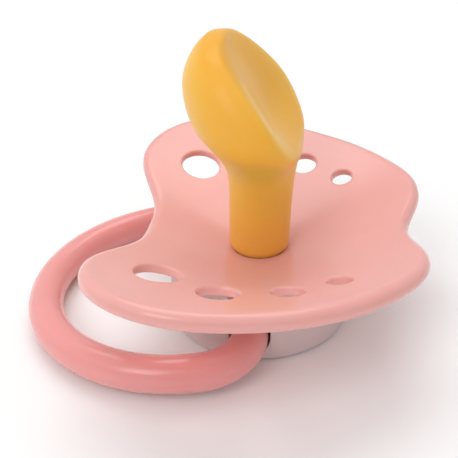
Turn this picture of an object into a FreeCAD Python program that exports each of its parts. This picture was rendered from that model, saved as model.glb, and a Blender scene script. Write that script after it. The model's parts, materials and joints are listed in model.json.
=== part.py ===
import FreeCAD, Part
import math
import os

# A baby's pacifier with an orthodontic teat. Millimetres.
# The knob's flat back face lies in the plane Z = 0 and the teat stands up along +Z.
# -X is the nose side, +X the chin side, and the object is the same on both sides of Y = 0.

# shield
DISH_HEIGHT = 9.14         # dished face above the knob's back, at the teat's axis
DISH_SLOPE = 0.356         # rise of the dish per millimetre outward along Y
DISH_BLEND = 4.7           # how far from the axis the bottom of the dish stays rounded
DISH_SQUASH = 0.915        # the dish rises this much slower along X than along Y
DISH_HALF_LENGTH = 24.0    # the dished face is drawn a little past the rim
DISH_HALF_WIDTH = 32.0
DISH_GRID = 16             # steps each way in the net of points on the dish
RIM_THICKNESS = 2.1
RIM_EDGE_RADIUS = 0.95
PLATE_THICKNESS = 1.1
RIM_WIDTH = 2.4            # inside this the shield's back is hollowed to the plate's thickness
INSIDE_POINTS = 36         # of the curve drawn inside the rim
# half of the rim, from the chin notch round to the nose notch
RIM_POINTS = [
    (18.1, 0.0), (18.6, 2.9), (19.7, 6.7), (19.4, 11.0), (17.4, 14.6), (14.8, 17.5),
    (11.7, 20.1), (8.1, 22.2), (4.4, 23.8), (0.3, 25.0), (-4.5, 25.7), (-9.2, 25.1),
    (-13.5, 23.0), (-16.7, 19.4), (-17.9, 14.1), (-15.8, 8.3), (-14.3, 4.2), (-14.1, 0.0),
]
# vents on one side: X, Y and diameter
VENTS = [(-9.6, 14.05, 5.5), (-2.5, 17.6, 4.7), (4.6, 15.9, 3.8), (9.9, 12.7, 3.0)]
VENT_REACH = 4.2           # the vents are cut this far to each side of the dished face
SEAT_HEIGHT = 8.0          # flat land on the shield's back that the teat's flange meets
COLLAR_OUTER_RADIUS = 9.6  # round wall on the shield's back that holds the plug and the knob
COLLAR_INNER_RADIUS = 8.6
COLLAR_BOTTOM = 6.2

# teat
NECK_RADIUS = 3.7
FLANGE_RADIUS = 6.6
FLANGE_THICKNESS = 1.1
WALL = 0.9
FIT_GAP = 0.05             # between pieces that are fixed to each other
# stations up the teat: height, nose side, centre, half width, chin side, scoop depth, squareness
TEAT_STATIONS = [
    (12.0, -3.75, 0.0, 3.6, 3.8, 0.0, 2.0),
    (17.0, -3.6, 0.0, 3.8, 4.0, 0.0, 2.0),
    (20.0, -3.75, 0.0, 5.0, 4.35, 0.0, 2.0),
    (22.0, -4.5, 0.0, 6.8, 5.4, 0.75, 2.2),
    (24.0, -5.55, 0.2, 9.15, 7.1, 1.65, 2.6),
    (25.5, -6.75, 0.3, 10.75, 6.6, 3.05, 3.0),
    (27.0, -7.9, 0.2, 11.2, 5.4, 3.8, 3.4),
    (28.5, -8.4, -0.1, 11.1, 4.1, 3.7, 3.6),
    (30.0, -8.65, -0.8, 10.6, 2.7, 3.15, 3.6),
    (31.5, -8.7, -1.7, 9.75, 1.2, 2.45, 3.4),
    (33.0, -8.25, -2.7, 8.6, -0.35, 1.75, 3.2),
    (34.2, -7.6, -3.4, 7.1, -1.8, 1.05, 2.8),
    (35.1, -6.9, -4.0, 5.7, -2.9, 0.5, 2.4),
    (35.65, -6.2, -4.4, 3.5, -3.5, 0.1, 2.1),
    (36.0, -6.0, -4.6, 2.2, -3.8, 0.0, 2.0),
    (36.1, -5.2, -4.6, 0.8, -4.3, 0.0, 2.0),
]
RING_POINTS = 28
ROUND = 2.0                # squareness of a ring that is a true circle or ellipse
DEGREE = 3                 # of the smooth surface drawn over the rings of control points

# ring handle, a D whose straight side lies in the knob
TUBE_RADIUS = 2.17
BAR_HALF_LENGTH = 11.3
CORNER_RADIUS = 6.5
BIG_RADIUS = 18.2
HINGE_HEIGHT = 3.35

# knob
KNOB_RADIUS = 11.25
KNOB_WALL = 1.5
KNOB_FLOOR = 0.95
KNOB_EDGE_RADIUS = 0.8
SLOT_GAP = 0.28            # between the ring's bar and each side of the knob's slot
SADDLE_GAP = 0.05          # running clearance of the bar in its saddles
SADDLE_POSITION = 6.0
SADDLE_LENGTH = 2.0
SADDLE_HALF_WIDTH = 4.0
SADDLE_REACH = 8.0         # the saddles end inside this distance from the middle

# plug
PLUG_THICKNESS = 1.1
STEM_TOP = 14.5
STEM_BORE_RADIUS = 1.5
STEM_TOP_WALL = 1.5

UNTRIMMED_TOP = 30.0       # round pieces are drawn to here, then trimmed under the dished face
OUT = 60.0                 # further out than any part of the object
LEVEL = 0.05               # an edge that rises less than this lies flat
AXIS_Y = FreeCAD.Vector(0, 1, 0)
AXIS_Z = FreeCAD.Vector(0, 0, 1)


def upright_cylinder(radius, bottom, top):
    return Part.makeCylinder(radius, top - bottom, FreeCAD.Vector(0, 0, bottom), AXIS_Z)


def dish_rise(x, y):
    """Height of the dished face above its lowest point."""
    reach = math.sqrt(y * y + (DISH_SQUASH * x) ** 2 + DISH_BLEND ** 2)
    return DISH_SLOPE * (reach - DISH_BLEND)


def dish_normal(x, y):
    """Unit vector square to the dished face."""
    reach = math.sqrt(y * y + (DISH_SQUASH * x) ** 2 + DISH_BLEND ** 2)
    slope_x = DISH_SLOPE * DISH_SQUASH ** 2 * x / reach
    slope_y = DISH_SLOPE * y / reach
    return FreeCAD.Vector(-slope_x, -slope_y, 1).normalize()


def below_dish(drop, depth=OUT):
    """A block whose top is the dished face lowered by a drop."""
    rows = []
    for i in range(DISH_GRID + 1):
        x = DISH_HALF_LENGTH * (2 * i / DISH_GRID - 1)
        row = []
        for j in range(DISH_GRID + 1):
            y = DISH_HALF_WIDTH * (2 * j / DISH_GRID - 1)
            row.append(FreeCAD.Vector(x, y, DISH_HEIGHT - drop + dish_rise(x, y)))
        rows.append(row)
    surface = Part.BSplineSurface()
    surface.interpolate(rows)
    return surface.toShape().extrude(FreeCAD.Vector(0, 0, -depth))


def rim_curve():
    half = [FreeCAD.Vector(x, y, 0) for x, y in RIM_POINTS]
    other_half = [FreeCAD.Vector(p.x, -p.y, 0) for p in reversed(half[1:-1])]
    return closed_curve(half + other_half)


def closed_curve(points):
    curve = Part.BSplineCurve()
    curve.interpolate(Points=points, PeriodicFlag=True)
    return curve


def curve_inside(curve, distance):
    """A closed curve that runs inside another by a distance."""
    first, last = curve.FirstParameter, curve.LastParameter
    points = []
    for i in range(INSIDE_POINTS):
        place = first + (last - first) * i / INSIDE_POINTS
        along = curve.tangent(place)[0]
        points.append(curve.value(place) + FreeCAD.Vector(-along.y, along.x, 0) * distance)
    return closed_curve(points)


def upright_prism(curve):
    wire = Part.Wire([curve.toShape()])
    return Part.Face(wire).extrude(FreeCAD.Vector(0, 0, OUT))


def rim_edges(shield):
    """The two long edges where the shield's faces meet its outer wall."""
    full_width = 2 * max(y for x, y in RIM_POINTS)
    return [e for e in shield.Edges if e.BoundBox.YLength > full_width - 2 * RIM_EDGE_RADIUS]


def vent_tool(x, y, diameter):
    normal = dish_normal(x, y)
    centre = FreeCAD.Vector(x, y, DISH_HEIGHT + dish_rise(x, y))
    start = centre - normal * VENT_REACH
    return Part.makeCylinder(diameter / 2, 2 * VENT_REACH, start, normal)


def make_shield():
    rim = rim_curve()
    plate = below_dish(0, RIM_THICKNESS).common(upright_prism(rim))
    hollow = below_dish(PLATE_THICKNESS).common(upright_prism(curve_inside(rim, RIM_WIDTH)))
    boss = upright_cylinder(COLLAR_OUTER_RADIUS, COLLAR_BOTTOM, UNTRIMMED_TOP)
    boss = boss.common(below_dish(PLATE_THICKNESS / 2))
    boss = boss.cut(upright_cylinder(COLLAR_INNER_RADIUS, 0, SEAT_HEIGHT))
    openings = [upright_cylinder(NECK_RADIUS + FIT_GAP, 0, OUT)]
    for x, y, diameter in VENTS:
        openings.append(vent_tool(x, y, diameter))
        openings.append(vent_tool(x, -y, diameter))
    shield = plate.cut(hollow).fuse(boss).cut(openings)
    return shield.makeFillet(RIM_EDGE_RADIUS, rim_edges(shield))


def teat_ring(height, nose, centre, half_width, chin, scoop, squareness, inset):
    """A level ring of control points. An inset moves it inward, and down in step with its height."""
    height -= inset * (height - SEAT_HEIGHT) / (TEAT_STATIONS[-1][0] - SEAT_HEIGHT)
    points = []
    for i in range(RING_POINTS):
        turn = 2 * math.pi * i / RING_POINTS
        across = math.sin(turn)
        if math.cos(turn) < 0:
            x = centre + (centre - nose - inset) * math.cos(turn)
        else:
            bulge = (1 - abs(across) ** squareness) ** (1 / squareness)
            x = centre + (chin - inset - centre) * bulge - scoop * math.cos(turn) ** 2
        points.append(FreeCAD.Vector(x, (half_width - inset) * across, height))
    return points


def teat_body(bottom, bottom_radius, inset):
    """The teat's outside for no inset, or its hollow for an inset of one wall."""
    rings = [teat_ring(bottom, -bottom_radius, 0, bottom_radius, bottom_radius, 0, ROUND, 0)]
    for station in TEAT_STATIONS:
        rings.append(teat_ring(*station, inset))
    spans = len(rings) - DEGREE
    upward_knots = list(range(spans + 1))
    upward_repeats = [DEGREE + 1] + [1] * (spans - 1) + [DEGREE + 1]
    round_knots = list(range(RING_POINTS + 1))
    round_repeats = [1] * (RING_POINTS + 1)
    surface = Part.BSplineSurface()
    surface.buildFromPolesMultsKnots(
        rings, upward_repeats, round_repeats, upward_knots, round_knots, False, True, DEGREE, DEGREE
    )
    side = surface.toShape()
    ends = [e for e in side.Edges if e.BoundBox.ZLength < LEVEL]
    caps = [Part.Face(Part.Wire([e])) for e in ends]
    shell = Part.makeShell([side] + caps)
    shell.sewShape()
    return Part.makeSolid(shell)


def make_teat():
    flange_bottom = SEAT_HEIGHT - FLANGE_THICKNESS
    outside = teat_body(SEAT_HEIGHT, NECK_RADIUS, 0)
    flange = upright_cylinder(FLANGE_RADIUS, flange_bottom, SEAT_HEIGHT)
    hollow = teat_body(flange_bottom, NECK_RADIUS - WALL, WALL)
    return outside.fuse(flange).cut(hollow)


def make_plug():
    top = SEAT_HEIGHT - FLANGE_THICKNESS
    bottom = top - PLUG_THICKNESS
    disc = upright_cylinder(COLLAR_INNER_RADIUS - FIT_GAP, bottom, top)
    stem = upright_cylinder(NECK_RADIUS - WALL - FIT_GAP, bottom, STEM_TOP)
    bore = upright_cylinder(STEM_BORE_RADIUS, bottom, STEM_TOP - STEM_TOP_WALL)
    return disc.fuse(stem).cut(bore)


def bar_space(radius, length, slot_top):
    """A U-shaped space round the ring's bar, open upward."""
    start = FreeCAD.Vector(0, -length / 2, HINGE_HEIGHT)
    round_bottom = Part.makeCylinder(radius, length, start, AXIS_Y)
    corner = FreeCAD.Vector(-radius, -length / 2, HINGE_HEIGHT)
    sides = Part.makeBox(2 * radius, length, slot_top - HINGE_HEIGHT, corner)
    return round_bottom.fuse(sides)


def make_knob_cover():
    cup = upright_cylinder(KNOB_RADIUS, 0, UNTRIMMED_TOP)
    bottom_edge = [e for e in cup.Edges if e.BoundBox.ZMax < KNOB_FLOOR]
    cup = cup.makeFillet(KNOB_EDGE_RADIUS, bottom_edge)
    inside = upright_cylinder(KNOB_RADIUS - KNOB_WALL, KNOB_FLOOR, OUT)
    cup = cup.cut(inside)
    for side in (-1, 1):
        start = side * SADDLE_POSITION - SADDLE_LENGTH / 2
        corner = FreeCAD.Vector(-SADDLE_HALF_WIDTH, start, KNOB_FLOOR)
        saddle = Part.makeBox(2 * SADDLE_HALF_WIDTH, SADDLE_LENGTH, HINGE_HEIGHT - KNOB_FLOOR, corner)
        cup = cup.fuse(saddle)
    cup = cup.cut(bar_space(TUBE_RADIUS + SADDLE_GAP, 2 * SADDLE_REACH, OUT))
    slot = bar_space(TUBE_RADIUS + SLOT_GAP, OUT, OUT).cut(inside)
    return cup.cut(slot).common(below_dish(PLATE_THICKNESS + FIT_GAP))


def bent_tube(bend_radius, centre, first_angle, sweep):
    tube = Part.makeTorus(bend_radius, TUBE_RADIUS, centre, AXIS_Z, -180, 180, sweep)
    tube.rotate(centre, AXIS_Z, first_angle)
    return tube


def make_ring():
    corner_centre = FreeCAD.Vector(-CORNER_RADIUS, BAR_HALF_LENGTH, HINGE_HEIGHT)
    reach = BIG_RADIUS - CORNER_RADIUS
    big_offset = math.sqrt(reach ** 2 - BAR_HALF_LENGTH ** 2)
    big_centre = FreeCAD.Vector(-CORNER_RADIUS - big_offset, 0, HINGE_HEIGHT)
    join_angle = math.degrees(math.atan2(BAR_HALF_LENGTH, big_offset))
    bar_start = FreeCAD.Vector(0, -BAR_HALF_LENGTH, HINGE_HEIGHT)
    ring = Part.makeCylinder(TUBE_RADIUS, 2 * BAR_HALF_LENGTH, bar_start, AXIS_Y)
    corner = bent_tube(CORNER_RADIUS, corner_centre, 0, join_angle)
    other_corner = corner.mirror(FreeCAD.Vector(0, 0, 0), AXIS_Y)
    big_bend = bent_tube(BIG_RADIUS, big_centre, join_angle, 360 - 2 * join_angle)
    ring = ring.fuse([corner, other_corner, big_bend]).removeSplitter()
    far_length = CORNER_RADIUS + big_offset + BIG_RADIUS
    droop = math.degrees(math.asin((HINGE_HEIGHT - TUBE_RADIUS) / far_length))
    ring.rotate(FreeCAD.Vector(0, 0, HINGE_HEIGHT), AXIS_Y, -droop)
    return ring


def export(name, shape):
    solids = len(shape.Solids)
    print(name, solids, "solid", shape.isValid(), round(shape.Volume, 1), "mm3")
    shape.exportStep("parts/" + name + ".step")


os.makedirs("parts", exist_ok=True)
export("shield", make_shield())
export("teat", make_teat())
export("plug", make_plug())
export("knob_cover", make_knob_cover())
export("ring", make_ring())
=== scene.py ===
import json
import math

import bmesh
import bpy
import numpy as np
from mathutils import Matrix, Vector
from mathutils.geometry import delaunay_2d_cdt


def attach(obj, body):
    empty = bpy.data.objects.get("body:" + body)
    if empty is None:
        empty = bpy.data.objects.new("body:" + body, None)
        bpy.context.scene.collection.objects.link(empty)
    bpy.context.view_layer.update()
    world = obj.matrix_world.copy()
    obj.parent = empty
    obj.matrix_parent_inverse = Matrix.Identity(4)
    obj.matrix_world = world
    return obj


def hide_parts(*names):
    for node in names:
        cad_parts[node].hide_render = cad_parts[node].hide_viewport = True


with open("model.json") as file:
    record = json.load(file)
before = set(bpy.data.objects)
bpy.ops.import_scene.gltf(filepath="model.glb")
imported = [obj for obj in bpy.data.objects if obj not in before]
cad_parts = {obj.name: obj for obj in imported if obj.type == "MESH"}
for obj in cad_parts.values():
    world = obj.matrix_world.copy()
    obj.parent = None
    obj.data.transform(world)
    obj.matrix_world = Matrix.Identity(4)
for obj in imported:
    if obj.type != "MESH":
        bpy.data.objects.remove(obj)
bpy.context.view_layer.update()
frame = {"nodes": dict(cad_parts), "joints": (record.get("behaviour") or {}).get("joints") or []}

# The pacifier's looks, in the CAD frame: the knob's flat back is the plane Z = 0, the teat stands along +Z,
# and -X is the nose side. The object's sizes are in millimetres and new_object turns them into metres.
# Materials, floor, lights and camera distances are in metres.
MM = 0.001
HINGE = Vector(frame["joints"][0]["pos_m"]) / MM

# shield
DISH_HEIGHT = 9.14
DISH_SLOPE = 0.356
DISH_BLEND = 4.7
DISH_SQUASH = 0.915
RIM_THICKNESS = 2.1
PLATE_THICKNESS = 1.1
RIM_BEAD = (1.4, 2.9)      # the back is thick out to the first distance from the rim and thin from the second
RIM_POINTS = [
    (18.1, 0.0), (18.6, 2.9), (19.7, 6.7), (19.4, 11.0), (17.4, 14.6), (14.8, 17.5),
    (11.7, 20.1), (8.1, 22.2), (4.4, 23.8), (0.3, 25.0), (-4.5, 25.7), (-9.2, 25.1),
    (-13.5, 23.0), (-16.7, 19.4), (-17.9, 14.1), (-15.8, 8.3), (-14.3, 4.2), (-14.1, 0.0),
]
RIM_STEPS = 360
SPLINE_STEPS = 40          # short steps between two outline points, from which the even ones are taken
RIM_TILT_ALLOWANCE = 0.08  # a tilted round edge reaches this much past its own middle line
VENTS = [(-9.6, 14.05, 5.5), (-2.5, 17.6, 4.7), (4.6, 15.9, 3.8), (9.9, 12.7, 3.0)]
VENT_ROUNDING = 0.35
BORE_RADIUS = 3.23
BORE_ROUNDING = 0.25
SHEET_SPACING = 0.75
SHEET_CLEARANCE = 0.45 * SHEET_SPACING
HOLE_SPACING = 0.3
FEWEST_HOLE_STEPS = 40
EDGE_STEPS = 10
SAME_POINT = 1e-7
LARGEST_SHIFT = 1e-4
SEAT_HEIGHT = 8.0
COLLAR_OUTER_RADIUS = 9.6
COLLAR_INNER_RADIUS = 8.6
COLLAR_BOTTOM = 6.2
COLLAR_CHAMFER = 0.15
COLLAR_TOP_WIDTH = 1.0

# teat: rings of control points, as height, nose side, centre, half width, chin side, scoop depth, squareness
TEAT_STATIONS = [
    (12.0, -3.75, 0.0, 3.6, 3.8, 0.0, 2.0),
    (17.0, -3.6, 0.0, 3.8, 4.0, 0.0, 2.0),
    (20.0, -3.75, 0.0, 5.0, 4.35, 0.0, 2.0),
    (22.0, -4.5, 0.0, 6.8, 5.4, 0.75, 2.2),
    (24.0, -5.55, 0.2, 9.15, 7.1, 1.65, 2.6),
    (25.5, -6.75, 0.3, 10.75, 6.6, 3.05, 3.0),
    (27.0, -7.9, 0.2, 11.2, 5.4, 3.8, 3.4),
    (28.5, -8.4, -0.1, 11.1, 4.1, 3.7, 3.6),
    (30.0, -8.65, -0.8, 10.6, 2.7, 3.15, 3.6),
    (31.5, -8.7, -1.7, 9.75, 1.2, 2.45, 3.4),
    (33.0, -8.25, -2.7, 8.6, -0.35, 1.75, 3.2),
    (34.2, -7.6, -3.4, 7.1, -1.8, 1.05, 2.8),
    (35.1, -6.9, -4.0, 5.7, -2.9, 0.5, 2.4),
    (35.65, -6.2, -4.4, 3.5, -3.5, 0.1, 2.1),
    (36.0, -6.0, -4.6, 2.2, -3.8, 0.0, 2.0),
    (36.1, -5.2, -4.6, 0.8, -4.3, 0.0, 2.0),
]
RING_POINTS = 28
ROUND = 2.0                # squareness of a circle
DEGREE = 3
JUST_BELOW = 1e-9          # the last place on a spline is taken this much before its end
TEAT_ROUND_STEPS = 168
TEAT_UP_STEPS = 130
NECK_SPANS = 2
NECK_STEPS = 50
NECK_RADIUS = 3.7
WALL = 0.9
FLANGE_RADIUS = 6.6
FLANGE_BOTTOM = 6.9
FLANGE_EDGE = 0.2
FOOT_TOP = 10.5
FOOT_DEPTH = 1.05
FOOT_PINCH = 0.5

# ring handle
TUBE_RADIUS = 2.17
BAR_HALF_LENGTH = 11.3
CORNER_RADIUS = 6.5
BIG_RADIUS = 18.2
TUBE_STEPS = 48
PATH_SPACING = 0.6

# knob
KNOB_RADIUS = 11.25
KNOB_WALL = 1.5
KNOB_FLOOR = 0.95
KNOB_EDGE = 0.8
KNOB_EDGE_STEPS = 9
KNOB_STEPS = 160
KNOB_UNTRIMMED_TOP = 20.0
SLOT_GAP = 0.28
SLOT_STEPS = 33
FIT_GAP = 0.05
DISH_LEAN = 1.04           # a gap measured square to the dish is this much longer straight down, at the knob
KNOB_TOP_DEPTH = (PLATE_THICKNESS + FIT_GAP) * DISH_LEAN
KNOB_BEVEL = 0.18
KNOB_BEVEL_ANGLE = 40
KNOB_SHARP_ANGLE = 35

# materials, in metres. A roughness that varied across 0.27 left hard-edged marks on the shield, so each
# material's range stays on one side of it.
GLOSS_SPREAD = 0.03
LATEX_FOOT = 0.0096
LATEX_TIP = 0.0361
LATEX_CLOUDINESS = 0.16    # how far the clouds shift the colour, as a part of the teat's height
# where the painted shade in the teat's scoop lies
SCOOP_LEAN = 0.77          # the scoop's face leans back by this much for each unit up
SCOOP_FACE = (0.0195, 0.0215)
SCOOP_HALF_WIDTH = (0.0055, 0.0088)
MIX_FIRST_COLOUR = 6       # Blender's Mix node has several sockets of one name, told apart by number
MIX_SECOND_COLOUR = 7
MIX_RESULT_COLOUR = 2

# room, in metres
FLOOR_HALF_WIDTH = 2.0
FLOOR_FRONT = -1.2
FLOOR_BACK = 1.4
FLOOR_BEND = 0.5
FLOOR_BEND_ANGLES = (0.15, 1.5)
FLOOR_BEND_STEPS = 12
FLOOR_TOP = 2.0
FLOOR_DROP = 0.00005
WORLD_STRENGTH = (0.32, 0.92)       # low to the right, and overhead to the left
WORLD_BRIGHT_SIDE = (-0.3, 0.0, 1.0)
WORLD_FROM = -0.2
LIT_POINT = (0, 0, 0.015)
CAMERA_CLIP_START = 0.005

# camera: film and lens in millimetres, places in the object's millimetres, roll in degrees
CAMERA_FILM_WIDTH = 36.0
CAMERA_LENS = 60.7
CAMERA_PLACE = (8.23, -82.77, 59.28)
CAMERA_AIM = (-3.71, -0.54, 11.79)
CAMERA_ROLL = -1.05

# ---------------------------------------------------------------- shapes shared by the pieces

def new_object(name, verts, faces, smooth=True):
    """A mesh object from points in millimetres."""
    mesh = bpy.data.meshes.new(name)
    mesh.from_pydata([tuple(c * MM for c in v) for v in verts], [], faces)
    mesh.validate()
    piece = bpy.data.objects.new(name, mesh)
    bpy.context.scene.collection.objects.link(piece)
    bm = bmesh.new()
    bm.from_mesh(mesh)
    bmesh.ops.recalc_face_normals(bm, faces=bm.faces)
    bm.to_mesh(mesh)
    bm.free()
    for polygon in mesh.polygons:
        polygon.use_smooth = smooth
    return piece


def dish_reach(x, y):
    """How far up the dish's slope a spot is, smoothed so that its middle is round."""
    return np.sqrt(y * y + (DISH_SQUASH * x) ** 2 + DISH_BLEND ** 2)


def dish_height(x, y):
    """The height of the shield's dished face."""
    return DISH_HEIGHT + DISH_SLOPE * (dish_reach(x, y) - DISH_BLEND)


def under_dish(x, y, depth):
    """Points a depth below the dished face, measured square to it."""
    reach = dish_reach(x, y)
    slope_x = DISH_SLOPE * DISH_SQUASH ** 2 * x / reach
    slope_y = DISH_SLOPE * y / reach
    length = np.sqrt(1 + slope_x ** 2 + slope_y ** 2)
    z = dish_height(x, y)
    return np.stack([x + depth * slope_x / length, y + depth * slope_y / length, z - depth / length], -1)


def smooth_step(value, low, high):
    t = np.clip((value - low) / (high - low), 0, 1)
    return t * t * (3 - 2 * t)


def periodic_spline(points, steps):
    """Even steps along a smooth closed curve through the points."""
    points = np.array(points, float)
    count = len(points)
    chords = np.linalg.norm(np.roll(points, -1, 0) - points, axis=1)
    matrix = np.zeros((count, count))
    right = np.zeros((count, 2))
    for i in range(count):
        before, after = chords[i - 1], chords[i]
        matrix[i, i - 1] = after
        matrix[i, i] = 2 * (before + after)
        matrix[i, (i + 1) % count] = before
        slope_before = (points[i] - points[i - 1]) / before
        slope_after = (points[(i + 1) % count] - points[i]) / after
        right[i] = 3 * (after * slope_before + before * slope_after)
    slopes = np.linalg.solve(matrix, right)
    fine = []
    for i in range(count):
        j = (i + 1) % count
        t = np.linspace(0, 1, SPLINE_STEPS, endpoint=False)[:, None]
        fine.append(
            (2 * t ** 3 - 3 * t ** 2 + 1) * points[i] + (t ** 3 - 2 * t ** 2 + t) * chords[i] * slopes[i]
            + (3 * t ** 2 - 2 * t ** 3) * points[j] + (t ** 3 - t ** 2) * chords[i] * slopes[j]
        )
    fine = np.vstack(fine + [fine[0][:1]])
    length = np.r_[0, np.cumsum(np.linalg.norm(np.diff(fine, axis=0), axis=1))]
    wanted = np.linspace(0, length[-1], steps, endpoint=False)
    return np.stack([np.interp(wanted, length, fine[:, k]) for k in range(2)], -1)


def outward_directions(loop):
    """Unit vectors square to a closed anticlockwise loop, pointing out of it."""
    along = np.roll(loop, -1, 0) - np.roll(loop, 1, 0)
    across = np.stack([along[:, 1], -along[:, 0]], -1)
    return across / np.linalg.norm(across, axis=1)[:, None]


def circle_loop(x, y, radius, steps):
    turn = np.linspace(0, 2 * math.pi, steps, endpoint=False)
    return np.stack([x + radius * np.cos(turn), y + radius * np.sin(turn)], -1)


def distance_to_loop(points, loop):
    return np.sqrt(((points[:, None, :] - loop[None]) ** 2).sum(-1).min(1))


def inside_loop(points, loop):
    """Which points lie inside a closed loop."""
    x, y = points[:, 0][:, None], points[:, 1][:, None]
    x0, y0 = loop[:, 0][None], loop[:, 1][None]
    x1, y1 = np.roll(loop[:, 0], -1)[None], np.roll(loop[:, 1], -1)[None]
    spans = (y0 > y) != (y1 > y)
    safe = np.where(y1 == y0, 1.0, y1 - y0)
    crossing = x0 + (y - y0) * (x1 - x0) / safe
    return (spans & (x < crossing)).sum(1) % 2 == 1


# ---------------------------------------------------------------- shield

def shield_thickness(points, rim):
    """Thick along the rim and thin in the middle."""
    near = distance_to_loop(points, rim)
    return PLATE_THICKNESS + (RIM_THICKNESS - PLATE_THICKNESS) * (1 - smooth_step(near, *RIM_BEAD))


def sheet_points(outer, holes):
    """A staggered grid that keeps clear of the loops."""
    low, high = outer.min(0), outer.max(0)
    row_step = SHEET_SPACING * math.sqrt(3) / 2
    points = []
    for row, y in enumerate(np.arange(low[1], high[1], row_step)):
        shift = SHEET_SPACING / 2 * (row % 2)
        points.extend((x + shift, y) for x in np.arange(low[0], high[0], SHEET_SPACING))
    points = np.array(points)
    keep = inside_loop(points, outer) & (distance_to_loop(points, outer) > SHEET_CLEARANCE)
    for hole in holes:
        keep &= ~inside_loop(points, hole) & (distance_to_loop(points, hole) > SHEET_CLEARANCE)
    return points[keep]


def shield_rim():
    """The outline seen from above, drawn in to allow for the dish's tilt, and the directions out of it."""
    other_half = [(x, -y) for x, y in reversed(RIM_POINTS[1:-1])]
    rim = periodic_spline(RIM_POINTS + other_half, RIM_STEPS)
    rim -= under_dish(rim[:, 0], rim[:, 1], RIM_THICKNESS / 2)[:, :2] - rim
    rim_out = outward_directions(rim)
    return rim - RIM_TILT_ALLOWANCE * rim_out, rim_out


def shield_edges(rim, rim_out):
    """The loops where the plate's edges start to round over, the directions over them, and their radii."""
    loops = [rim - RIM_THICKNESS / 2 * rim_out]
    outs = [rim_out]
    roundings = [RIM_THICKNESS / 2]
    openings = [(0.0, 0.0, BORE_RADIUS, BORE_ROUNDING)]
    for x, y, diameter in VENTS:
        radius = diameter / 2 - VENT_ROUNDING / 2
        openings.append((x, y, radius, VENT_ROUNDING))
        openings.append((x, -y, radius, VENT_ROUNDING))
    for x, y, radius, rounding in openings:
        steps = max(FEWEST_HOLE_STEPS, int(2 * math.pi * radius / HOLE_SPACING))
        loop = circle_loop(x, y, radius + rounding, steps)
        loops.append(loop)
        outs.append((np.array([x, y]) - loop) / (radius + rounding))
        roundings.append(rounding)
    return loops, outs, roundings


def fill_between(loops):
    """The points and triangles of a flat sheet inside the first loop and outside the others."""
    flat = np.vstack(loops + [sheet_points(loops[0], loops[1:])])
    edges = []
    start = 0
    for loop in loops:
        count = len(loop)
        edges += [(start + i, start + (i + 1) % count) for i in range(count)]
        start += count
    found = delaunay_2d_cdt([Vector(p) for p in flat], edges, [], 0, SAME_POINT)
    returned = np.array([tuple(p) for p in found[0][:len(flat)]])
    assert np.abs(returned - flat).max() < LARGEST_SHIFT, "the triangulation moved a point"
    triangles = np.array([f for f in found[2] if len(f) == 3])
    middles = flat[triangles].mean(1)
    keep = inside_loop(middles, loops[0])
    for loop in loops[1:]:
        keep &= ~inside_loop(middles, loop)
    return flat, triangles[keep]


def edge_profile(rounding, depth):
    """Steps over a rounded edge, as the reach over it and the depth below the face."""
    turns = [math.pi / 2 * k / EDGE_STEPS for k in range(EDGE_STEPS)]
    upper = [(rounding * math.sin(t), rounding * (1 - math.cos(t))) for t in turns[1:]]
    lower = [(rounding * math.cos(t), depth - rounding * (1 - math.sin(t))) for t in turns]
    fully_round = 2 * rounding > RIM_THICKNESS - FIT_GAP
    if fully_round:
        return upper + lower[1:]
    return upper + lower


def make_shield():
    """The dished plate: a flat sheet bent over the dish, twice, with its edges rounded from face to back."""
    rim, rim_out = shield_rim()
    loops, outs, roundings = shield_edges(rim, rim_out)
    flat, triangles = fill_between(loops)
    thickness = shield_thickness(flat, rim)
    face = under_dish(flat[:, 0], flat[:, 1], 0.0)
    back = under_dish(flat[:, 0], flat[:, 1], thickness)
    verts = [*face, *back]
    faces = [tuple(t) for t in triangles] + [tuple(t[::-1] + len(flat)) for t in triangles]
    start = 0
    for loop, out, rounding in zip(loops, outs, roundings):
        count = len(loop)
        rows = [range(start, start + count)]
        for reach, drop in edge_profile(rounding, thickness[start:start + count]):
            spots = loop + out * reach
            rows.append(range(len(verts), len(verts) + count))
            verts.extend(under_dish(spots[:, 0], spots[:, 1], drop))
        rows.append(range(start + len(flat), start + len(flat) + count))
        for upper, lower in zip(rows, rows[1:]):
            for i in range(count):
                j = (i + 1) % count
                faces.append((upper[i], upper[j], lower[j], lower[i]))
        start += count
    return new_object("shield_plate", verts, faces)


def lathe(name, profile, steps):
    """A closed profile of (radius, height) points turned round the Z axis."""
    count = len(profile)
    verts = []
    faces = []
    for i in range(steps):
        turn = 2 * math.pi * i / steps
        verts.extend((r * math.cos(turn), r * math.sin(turn), z) for r, z in profile)
        first, second = i * count, (i + 1) % steps * count
        for k in range(count):
            following = (k + 1) % count
            faces.append((first + k, second + k, second + following, first + following))
    return new_object(name, verts, faces)


def corner_arc(centre, radius, first, last, steps):
    """Points of an arc in a lathe profile, between two angles in degrees."""
    turns = np.radians(np.linspace(first, last, steps))
    return [(centre[0] + radius * math.cos(t), centre[1] + radius * math.sin(t)) for t in turns]


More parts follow.
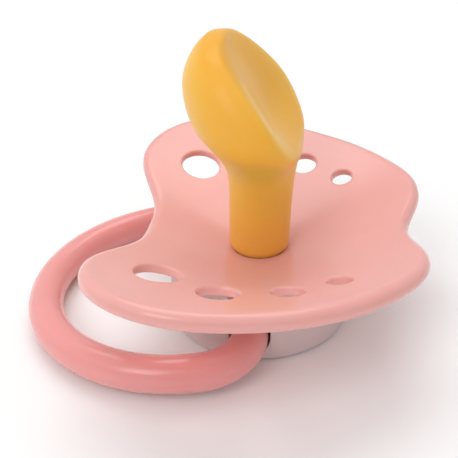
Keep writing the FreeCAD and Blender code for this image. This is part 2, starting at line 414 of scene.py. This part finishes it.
def make_collar():
    """The seat and collar on the shield's back, sunk into the plate."""
    top = DISH_HEIGHT - PLATE_THICKNESS / 2
    edge_top = dish_height(0, COLLAR_INNER_RADIUS) - PLATE_THICKNESS
    profile = [
        (BORE_RADIUS, SEAT_HEIGHT),
        (COLLAR_INNER_RADIUS, SEAT_HEIGHT),
        (COLLAR_INNER_RADIUS, COLLAR_BOTTOM + COLLAR_CHAMFER),
        (COLLAR_INNER_RADIUS + COLLAR_CHAMFER, COLLAR_BOTTOM),
        (COLLAR_OUTER_RADIUS - COLLAR_CHAMFER, COLLAR_BOTTOM),
        (COLLAR_OUTER_RADIUS, COLLAR_BOTTOM + COLLAR_CHAMFER),
        (COLLAR_OUTER_RADIUS, edge_top),
        (BORE_RADIUS + COLLAR_TOP_WIDTH, top),
        (BORE_RADIUS, top),
    ]
    return lathe("shield_collar", profile, KNOB_STEPS)


# ---------------------------------------------------------------- teat

def teat_ring(height, nose, centre, half_width, chin, scoop, squareness, inset):
    """A level ring of control points. An inset moves it inward, and down in step with its height."""
    height -= inset * (height - SEAT_HEIGHT) / (TEAT_STATIONS[-1][0] - SEAT_HEIGHT)
    turn = 2 * math.pi * np.arange(RING_POINTS) / RING_POINTS
    across, along = np.sin(turn), np.cos(turn)
    bulge = np.clip(1 - np.abs(across) ** squareness, 0, 1) ** (1 / squareness)
    nose_side = centre + (centre - nose - inset) * along
    chin_side = centre + (chin - inset - centre) * bulge - scoop * along ** 2
    x = np.where(along < 0, nose_side, chin_side)
    return np.stack([x, (half_width - inset) * across, np.full(RING_POINTS, height)], -1)


def spline_weights(knots, count, places):
    """How much each control point of a cubic spline counts at each place, by Cox and de Boor's rule."""
    places = np.asarray(places)[:, None]
    low, high = knots[:-1][None], knots[1:][None]
    weights = ((places >= low) & (places < high)).astype(float)
    for degree in range(1, DEGREE + 1):
        left_span = knots[degree:-1] - knots[:-degree - 1]
        right_span = knots[degree + 1:] - knots[1:-degree]
        left = (places - knots[:-degree - 1]) / np.where(left_span > 0, left_span, 1)
        right = (knots[degree + 1:] - places) / np.where(right_span > 0, right_span, 1)
        weights = left * weights[:, :-1] * (left_span > 0) + right * weights[:, 1:] * (right_span > 0)
    return weights[:, :count]


def teat_wall(bottom, bottom_radius, inset):
    """Rows of points up the teat's outside for no inset, or up its hollow for an inset of one wall."""
    rings = [teat_ring(bottom, -bottom_radius, 0, bottom_radius, bottom_radius, 0, ROUND, 0)]
    rings = np.array(rings + [teat_ring(*station, inset) for station in TEAT_STATIONS])
    spans = len(rings) - DEGREE
    up_knots = np.r_[[0] * DEGREE, np.arange(spans + 1), [spans] * DEGREE].astype(float)
    neck = np.linspace(0, NECK_SPANS, NECK_STEPS, endpoint=False)
    up_places = np.r_[neck, np.linspace(NECK_SPANS, spans - JUST_BELOW, TEAT_UP_STEPS)]
    up_weights = spline_weights(up_knots, len(rings), up_places)
    wrapped = np.concatenate([rings, rings[:, :DEGREE]], 1)
    round_knots = np.arange(RING_POINTS + 2 * DEGREE + 1).astype(float)
    round_places = DEGREE + RING_POINTS * np.arange(TEAT_ROUND_STEPS) / TEAT_ROUND_STEPS
    round_weights = spline_weights(round_knots, RING_POINTS + DEGREE, round_places)
    return np.einsum("ai,ijk,bj->abk", up_weights, wrapped, round_weights)


def pinch_foot(rows):
    """The neck rolls in where it enters the shield."""
    fall = np.clip((FOOT_TOP - rows[..., 2]) / FOOT_DEPTH, 0, 1)
    radius = np.hypot(rows[..., 0], rows[..., 1])
    pulled_in = radius - FOOT_PINCH * (1 - np.sqrt(1 - fall ** 2))
    rows[..., :2] *= (pulled_in / radius)[..., None]
    return rows


def make_teat():
    """One skin from the tip of the hollow down to the flange and up the outside to the tip."""
    outside = pinch_foot(teat_wall(SEAT_HEIGHT, NECK_RADIUS, 0.0))
    hollow = teat_wall(FLANGE_BOTTOM, NECK_RADIUS - WALL, WALL)
    profile = [
        (FLANGE_RADIUS - FLANGE_EDGE, FLANGE_BOTTOM),
        (FLANGE_RADIUS, FLANGE_BOTTOM + FLANGE_EDGE),
        (FLANGE_RADIUS, SEAT_HEIGHT - FLANGE_EDGE),
        (FLANGE_RADIUS - FLANGE_EDGE, SEAT_HEIGHT - FIT_GAP / 2),
    ]
    start_angle = math.atan2(outside[0, 0, 1], outside[0, 0, 0])
    turn = start_angle + 2 * math.pi / TEAT_ROUND_STEPS * np.arange(TEAT_ROUND_STEPS)
    flange = [
        np.stack([radius * np.cos(turn), radius * np.sin(turn), np.full(len(turn), height)], -1)
        for radius, height in profile
    ]
    rows = [*hollow[::-1], *flange, *outside]
    verts = [point for row in rows for point in row]
    faces = []
    for a in range(len(rows) - 1):
        low, high = a * TEAT_ROUND_STEPS, (a + 1) * TEAT_ROUND_STEPS
        for b in range(TEAT_ROUND_STEPS):
            c = (b + 1) % TEAT_ROUND_STEPS
            faces.append((low + b, low + c, high + c, high + b))
    for row_start in (0, (len(rows) - 1) * TEAT_ROUND_STEPS):
        tip = len(verts)
        verts.append(np.mean(verts[row_start:row_start + TEAT_ROUND_STEPS], 0))
        for b in range(TEAT_ROUND_STEPS):
            faces.append((row_start + b, row_start + (b + 1) % TEAT_ROUND_STEPS, tip))
    return new_object("teat_latex", verts, faces)


# ---------------------------------------------------------------- ring handle

def ring_path():
    """The tube's centre line in its own flat plane, with the bar along Y at X = 0, and how far it reaches."""
    reach = BIG_RADIUS - CORNER_RADIUS
    big_offset = math.sqrt(reach ** 2 - BAR_HALF_LENGTH ** 2)
    big_x = -CORNER_RADIUS - big_offset
    join = math.atan2(BAR_HALF_LENGTH, big_offset)
    points = [(0.0, y) for y in np.arange(-BAR_HALF_LENGTH, BAR_HALF_LENGTH, 2 * PATH_SPACING)]

    def arc(centre_x, centre_y, radius, first, last):
        steps = int(radius * abs(last - first) / PATH_SPACING) + 1
        for turn in np.linspace(first, last, steps, endpoint=False):
            points.append((centre_x + radius * math.cos(turn), centre_y + radius * math.sin(turn)))

    arc(-CORNER_RADIUS, BAR_HALF_LENGTH, CORNER_RADIUS, 0, join)
    arc(big_x, 0, BIG_RADIUS, join, 2 * math.pi - join)
    arc(-CORNER_RADIUS, -BAR_HALF_LENGTH, CORNER_RADIUS, -join, 0)
    return np.array(points), -big_x + BIG_RADIUS


def make_ring():
    path, far_length = ring_path()
    out = outward_directions(path)
    droop = math.asin((HINGE.z - TUBE_RADIUS) / far_length)
    verts = []
    faces = []
    count = len(path)
    for i in range(count):
        for k in range(TUBE_STEPS):
            turn = 2 * math.pi * k / TUBE_STEPS
            spread = TUBE_RADIUS * math.cos(turn)
            lift = TUBE_RADIUS * math.sin(turn)
            x, y = path[i] + out[i] * spread
            verts.append((
                x * math.cos(droop) - lift * math.sin(droop),
                y,
                HINGE.z + x * math.sin(droop) + lift * math.cos(droop),
            ))
        j = (i + 1) % count
        for k in range(TUBE_STEPS):
            n = (k + 1) % TUBE_STEPS
            faces.append((i * TUBE_STEPS + k, j * TUBE_STEPS + k, j * TUBE_STEPS + n, i * TUBE_STEPS + n))
    return new_object("ring_tube", verts, faces)


# ---------------------------------------------------------------- knob

def apply_modifiers(piece):
    """Gives the piece the mesh that its modifiers make."""
    graph = bpy.context.evaluated_depsgraph_get()
    mesh = bpy.data.meshes.new_from_object(piece.evaluated_get(graph))
    old = piece.data
    piece.modifiers.clear()
    piece.data = mesh
    bpy.data.meshes.remove(old)


def cut_out(piece, tool):
    """Cuts the tool's shape out of the piece, and removes the tool."""
    modifier = piece.modifiers.new("cut_out", "BOOLEAN")
    modifier.operation = "DIFFERENCE"
    modifier.object = tool
    modifier.solver = "EXACT"
    apply_modifiers(piece)
    bpy.data.objects.remove(tool)


def channel(radius, length, top):
    """A U-shaped block along Y round the ring's bar, open upward."""
    section = corner_arc((0.0, HINGE.z), radius, 180, 360, SLOT_STEPS)
    section = [(radius, top), (-radius, top)] + section
    half = length / 2
    verts = [(x, -half, z) for x, z in section] + [(x, half, z) for x, z in section]
    count = len(section)
    faces = [tuple(range(count)), tuple(range(2 * count - 1, count - 1, -1))]
    faces += [(i, (i + 1) % count, (i + 1) % count + count, i + count) for i in range(count)]
    return new_object("channel", verts, faces, smooth=False)


def make_knob():
    """A cup trimmed to the underside of the dish, slotted for the ring's bar, with its edges broken."""
    inner = KNOB_RADIUS - KNOB_WALL
    profile = [(0.0, 0.0), (inner / 2, 0.0)]
    profile += corner_arc((KNOB_RADIUS - KNOB_EDGE, KNOB_EDGE), KNOB_EDGE, -90, 0, KNOB_EDGE_STEPS)
    profile += [(KNOB_RADIUS, KNOB_UNTRIMMED_TOP), (inner, KNOB_UNTRIMMED_TOP)]
    profile += [(inner, KNOB_FLOOR), (0.0, KNOB_FLOOR)]
    cup = lathe("knob_cup", profile, KNOB_STEPS)
    bm = bmesh.new()
    bm.from_mesh(cup.data)
    bmesh.ops.remove_doubles(bm, verts=bm.verts, dist=10 * SAME_POINT)
    for vert in bm.verts:
        if vert.co.z > KNOB_UNTRIMMED_TOP / 2 * MM:
            x, y = vert.co.x / MM, vert.co.y / MM
            vert.co.z = float(dish_height(x, y) - KNOB_TOP_DEPTH) * MM
    bmesh.ops.dissolve_degenerate(bm, edges=bm.edges, dist=SAME_POINT)
    bmesh.ops.recalc_face_normals(bm, faces=bm.faces)
    bm.to_mesh(cup.data)
    bm.free()
    cut_out(cup, channel(TUBE_RADIUS + SLOT_GAP, 3 * KNOB_RADIUS, KNOB_UNTRIMMED_TOP))
    bevel = cup.modifiers.new("bevel", "BEVEL")
    bevel.width = KNOB_BEVEL * MM
    bevel.segments = 3
    bevel.limit_method = "ANGLE"
    bevel.angle_limit = math.radians(KNOB_BEVEL_ANGLE)
    bevel.harden_normals = True
    apply_modifiers(cup)
    for polygon in cup.data.polygons:
        polygon.use_smooth = True
    cup.data.set_sharp_from_angle(angle=math.radians(KNOB_SHARP_ANGLE))
    return cup


# ---------------------------------------------------------------- materials

def new_material(name):
    """A material with its node tree's parts: nodes, links and the main shader."""
    material = bpy.data.materials.new(name)
    material.use_nodes = True
    nodes = material.node_tree.nodes
    shader = nodes["Principled BSDF"]
    return material, nodes, material.node_tree.links, shader


def noise(nodes, links, source, scale, detail):
    """A cloudy pattern from 0 to 1, with scale waves to the metre."""
    texture = nodes.new("ShaderNodeTexNoise")
    texture.inputs["Scale"].default_value = scale
    texture.inputs["Detail"].default_value = detail
    links.new(source, texture.inputs["Vector"])
    return texture.outputs["Fac"]


def ramp(nodes, links, source, stops):
    """A colour ramp with (place, colour) stops."""
    node = nodes.new("ShaderNodeValToRGB")
    elements = node.color_ramp.elements
    while len(elements) < len(stops):
        elements.new(0.5)
    for element, (place, colour) in zip(elements, stops):
        element.position = place
        element.color = (*colour, 1)
    links.new(source, node.inputs["Fac"])
    return node.outputs["Color"]


def map_range(nodes, links, source, low, high, from_low=0.0, from_high=1.0):
    """A value moved from its own range to the one from low to high."""
    node = nodes.new("ShaderNodeMapRange")
    node.inputs["From Min"].default_value = from_low
    node.inputs["From Max"].default_value = from_high
    node.inputs["To Min"].default_value = low
    node.inputs["To Max"].default_value = high
    links.new(source, node.inputs["Value"])
    return node.outputs["Result"]


def math_node(nodes, links, operation, *values):
    """A sum on values, each a number or a node's output."""
    node = nodes.new("ShaderNodeMath")
    node.operation = operation
    for socket, value in zip(node.inputs, values):
        if isinstance(value, float):
            socket.default_value = value
        else:
            links.new(value, socket)
    return node.outputs["Value"]


def bump(nodes, links, source, shader, strength, distance, under=None):
    """Small relief on the shader's surface, on top of the relief under it."""
    node = nodes.new("ShaderNodeBump")
    node.inputs["Strength"].default_value = strength
    node.inputs["Distance"].default_value = distance
    links.new(source, node.inputs["Height"])
    if under is not None:
        links.new(under, node.inputs["Normal"])
    links.new(node.outputs["Normal"], shader.inputs["Normal"])
    return node.outputs["Normal"]


def plastic(name, dark, light, roughness, scatter, scatter_colour, scatter_distance):
    """Moulded plastic: slow colour drift, a faint flow pattern in the gloss and a fine skin."""
    material, nodes, links, shader = new_material(name)
    place = nodes.new("ShaderNodeTexCoord").outputs["Object"]
    drift = noise(nodes, links, place, scale=90, detail=3)
    colour = ramp(nodes, links, drift, [(0.3, dark), (0.7, light)])
    links.new(colour, shader.inputs["Base Color"])
    gloss = noise(nodes, links, place, scale=260, detail=4)
    gloss = map_range(nodes, links, gloss, roughness - GLOSS_SPREAD, roughness + GLOSS_SPREAD)
    links.new(gloss, shader.inputs["Roughness"])
    waves = noise(nodes, links, place, scale=180, detail=2)
    wavy = bump(nodes, links, waves, shader, strength=0.05, distance=0.0002)
    skin = noise(nodes, links, place, scale=2600, detail=3)
    bump(nodes, links, skin, shader, strength=0.03, distance=0.00002, under=wavy)
    shader.inputs["IOR"].default_value = 1.49
    shader.inputs["Subsurface Weight"].default_value = scatter
    shader.inputs["Subsurface Radius"].default_value = scatter_colour
    shader.inputs["Subsurface Scale"].default_value = scatter_distance
    return material


def latex(name):
    """Amber latex: deeper orange in the neck's foot, honey elsewhere, painted shade of deeper orange in the
    scoop, and a soft skin.
    """
    material, nodes, links, shader = new_material(name)
    place = nodes.new("ShaderNodeTexCoord").outputs["Object"]
    split = nodes.new("ShaderNodeSeparateXYZ")
    links.new(place, split.inputs["Vector"])
    x, y, z = split.outputs["X"], split.outputs["Y"], split.outputs["Z"]
    height = map_range(nodes, links, z, 0, 1, LATEX_FOOT, LATEX_TIP)
    clouds = noise(nodes, links, place, scale=220, detail=4)
    clouds = map_range(nodes, links, clouds, low=-0.5, high=0.5)
    cloudy_height = math_node(nodes, links, "MULTIPLY_ADD", clouds, LATEX_CLOUDINESS, height)
    honey = ramp(nodes, links, cloudy_height, [
        (0.0, (0.88, 0.47, 0.09)),
        (0.38, (0.95, 0.57, 0.09)),
        (0.6, (0.91, 0.5, 0.065)),
        (1.0, (0.92, 0.52, 0.08)),
    ])
    # painted shade: a mask over the scoop's face, strongest near its middle, mixes in a deeper orange where
    # the scoop lies in shade
    above_face = math_node(nodes, links, "MULTIPLY_ADD", z, SCOOP_LEAN, x)
    aside = math_node(nodes, links, "ABSOLUTE", y)
    near_face = map_range(nodes, links, above_face, 0, 1, *SCOOP_FACE)
    near_middle = map_range(nodes, links, aside, 1, 0, *SCOOP_HALF_WIDTH)
    painted_scoop_shade = nodes.new("ShaderNodeMix")
    painted_scoop_shade.data_type = "RGBA"
    links.new(math_node(nodes, links, "MULTIPLY", near_face, near_middle), painted_scoop_shade.inputs["Factor"])
    links.new(honey, painted_scoop_shade.inputs[MIX_FIRST_COLOUR])
    painted_scoop_shade.inputs[MIX_SECOND_COLOUR].default_value = (0.87, 0.44, 0.04, 1.0)
    links.new(painted_scoop_shade.outputs[MIX_RESULT_COLOUR], shader.inputs["Base Color"])
    gloss = noise(nodes, links, place, scale=400, detail=5)
    links.new(map_range(nodes, links, gloss, low=0.285, high=0.35), shader.inputs["Roughness"])
    waves = noise(nodes, links, place, scale=150, detail=2)
    wavy = bump(nodes, links, waves, shader, strength=0.08, distance=0.0003)
    skin = noise(nodes, links, place, scale=1900, detail=4)
    bump(nodes, links, skin, shader, strength=0.08, distance=0.00004, under=wavy)
    shader.inputs["IOR"].default_value = 1.5
    shader.inputs["Specular IOR Level"].default_value = 0.22
    shader.inputs["Subsurface Weight"].default_value = 1.0
    shader.inputs["Subsurface Radius"].default_value = (1.0, 0.7, 0.3)
    shader.inputs["Subsurface Scale"].default_value = 0.0009
    return material


def give(piece, material):
    """Makes this the piece's only material."""
    piece.data.materials.clear()
    piece.data.materials.append(material)


# ---------------------------------------------------------------- room

def make_floor(material):
    """A pale sweep that lies just under the object and rises far behind it."""
    bend_start = FLOOR_BACK - FLOOR_BEND
    section = [(FLOOR_FRONT, 0.0), (bend_start, 0.0)]
    for turn in np.linspace(*FLOOR_BEND_ANGLES, FLOOR_BEND_STEPS):
        section.append((bend_start + FLOOR_BEND * math.sin(turn), FLOOR_BEND - FLOOR_BEND * math.cos(turn)))
    section.append((FLOOR_BACK, FLOOR_TOP))
    verts = []
    for x in (-FLOOR_HALF_WIDTH, FLOOR_HALF_WIDTH):
        verts += [(x, y, z - FLOOR_DROP) for y, z in section]
    count = len(section)
    mesh = bpy.data.meshes.new("floor")
    mesh.from_pydata(verts, [], [(i, i + 1, i + 1 + count, i + count) for i in range(count - 1)])
    floor = bpy.data.objects.new("floor", mesh)
    bpy.context.scene.collection.objects.link(floor)
    for polygon in mesh.polygons:
        polygon.use_smooth = True
    give(floor, material)


def floor_material():
    """Matt white paper with a very slow change of tone."""
    material, nodes, links, shader = new_material("floor_white")
    place = nodes.new("ShaderNodeTexCoord").outputs["Object"]
    clouds = noise(nodes, links, place, scale=3, detail=2)
    tone = ramp(nodes, links, clouds, [(0.3, (0.94, 0.94, 0.94)), (0.7, (0.96, 0.96, 0.96))])
    links.new(tone, shader.inputs["Base Color"])
    shader.inputs["Roughness"].default_value = 0.9
    shader.inputs["Specular IOR Level"].default_value = 0.1
    return material


def area_light(name, place, size, power):
    """A white softbox that faces the object, with its size in metres and its power in watts."""
    light = bpy.data.lights.new(name, "AREA")
    light.shape = "RECTANGLE"
    light.size, light.size_y = size
    light.energy = power
    lamp = bpy.data.objects.new(name, light)
    lamp.location = place
    lamp.rotation_euler = (Vector(LIT_POINT) - Vector(place)).to_track_quat("-Z", "Y").to_euler()
    bpy.context.scene.collection.objects.link(lamp)


def make_world():
    """A soft white room, brighter overhead and to the left than low down on the right."""
    world = bpy.data.worlds.new("studio")
    world.use_nodes = True
    nodes, links = world.node_tree.nodes, world.node_tree.links
    direction = nodes.new("ShaderNodeTexCoord").outputs["Generated"]
    towards = nodes.new("ShaderNodeVectorMath")
    towards.operation = "DOT_PRODUCT"
    links.new(direction, towards.inputs[0])
    towards.inputs[1].default_value = Vector(WORLD_BRIGHT_SIDE).normalized()
    strength = map_range(nodes, links, towards.outputs["Value"], *WORLD_STRENGTH, WORLD_FROM, 1.0)
    background = nodes["Background"]
    background.inputs["Color"].default_value = (1, 1, 1, 1)
    links.new(strength, background.inputs["Strength"])
    bpy.context.scene.world = world


def make_lights():
    """The room's own light and two softboxes."""
    make_world()
    area_light("back", place=(-0.07, 0.24, 0.56), size=(0.5, 0.35), power=1.2)
    area_light("front_left", place=(-0.28, -0.5, 0.52), size=(0.3, 0.3), power=1.0)


def make_camera():
    """The photograph's viewing angle: from the front, a little right, about 30 degrees up."""
    camera_data = bpy.data.cameras.new("camera")
    camera_data.sensor_width = CAMERA_FILM_WIDTH
    camera_data.lens = CAMERA_LENS
    camera_data.clip_start = CAMERA_CLIP_START
    camera = bpy.data.objects.new("camera", camera_data)
    place = Vector(CAMERA_PLACE) * MM
    aim = Vector(CAMERA_AIM) * MM
    view = (aim - place).to_track_quat("-Z", "Y").to_matrix().to_4x4()
    roll = Matrix.Rotation(math.radians(CAMERA_ROLL), 4, "Z")
    camera.matrix_world = Matrix.Translation(place) @ view @ roll
    bpy.context.scene.collection.objects.link(camera)
    bpy.context.scene.camera = camera


# ---------------------------------------------------------------- the object

PINK_SHIELD = plastic(
    "shield_pink", dark=(0.82, 0.405, 0.37), light=(0.84, 0.43, 0.395), roughness=0.2,
    scatter=0.4, scatter_colour=(1.0, 0.35, 0.3), scatter_distance=0.001,
)
PINK_RING = plastic(
    "ring_pink", dark=(0.81, 0.36, 0.345), light=(0.83, 0.385, 0.37), roughness=0.18,
    scatter=1.0, scatter_colour=(1.0, 0.3, 0.25), scatter_distance=0.002,
)
WHITE_KNOB = plastic(
    "knob_white", dark=(0.72, 0.58, 0.57), light=(0.75, 0.62, 0.61), roughness=0.34,
    scatter=0.4, scatter_colour=(1.0, 0.6, 0.55), scatter_distance=0.001,
)
PLUG_WHITE = plastic(
    "plug_white", dark=(0.78, 0.76, 0.72), light=(0.82, 0.8, 0.77), roughness=0.4,
    scatter=0.2, scatter_colour=(1.0, 0.9, 0.8), scatter_distance=0.001,
)
LATEX = latex("latex_amber")

MAIN_BODY = "pacifier_body"
for piece, material, body, node, slot in (
    (make_shield(), PINK_SHIELD, MAIN_BODY, "shield", "shield_plastic"),
    (make_collar(), PINK_SHIELD, MAIN_BODY, "shield", "shield_plastic"),
    (make_teat(), LATEX, MAIN_BODY, "teat", "latex"),
    (make_knob(), WHITE_KNOB, MAIN_BODY, "knob_cover", "knob_plastic"),
    (make_ring(), PINK_RING, "ring_handle", "ring", "ring_plastic"),
):
    give(piece, material)
    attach(piece, body)
    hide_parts(node)

for material_slot in frame["nodes"]["plug"].material_slots:
    material_slot.material = PLUG_WHITE

make_floor(floor_material())
make_lights()
make_camera()
bpy.context.scene.view_settings.view_transform = "Standard"
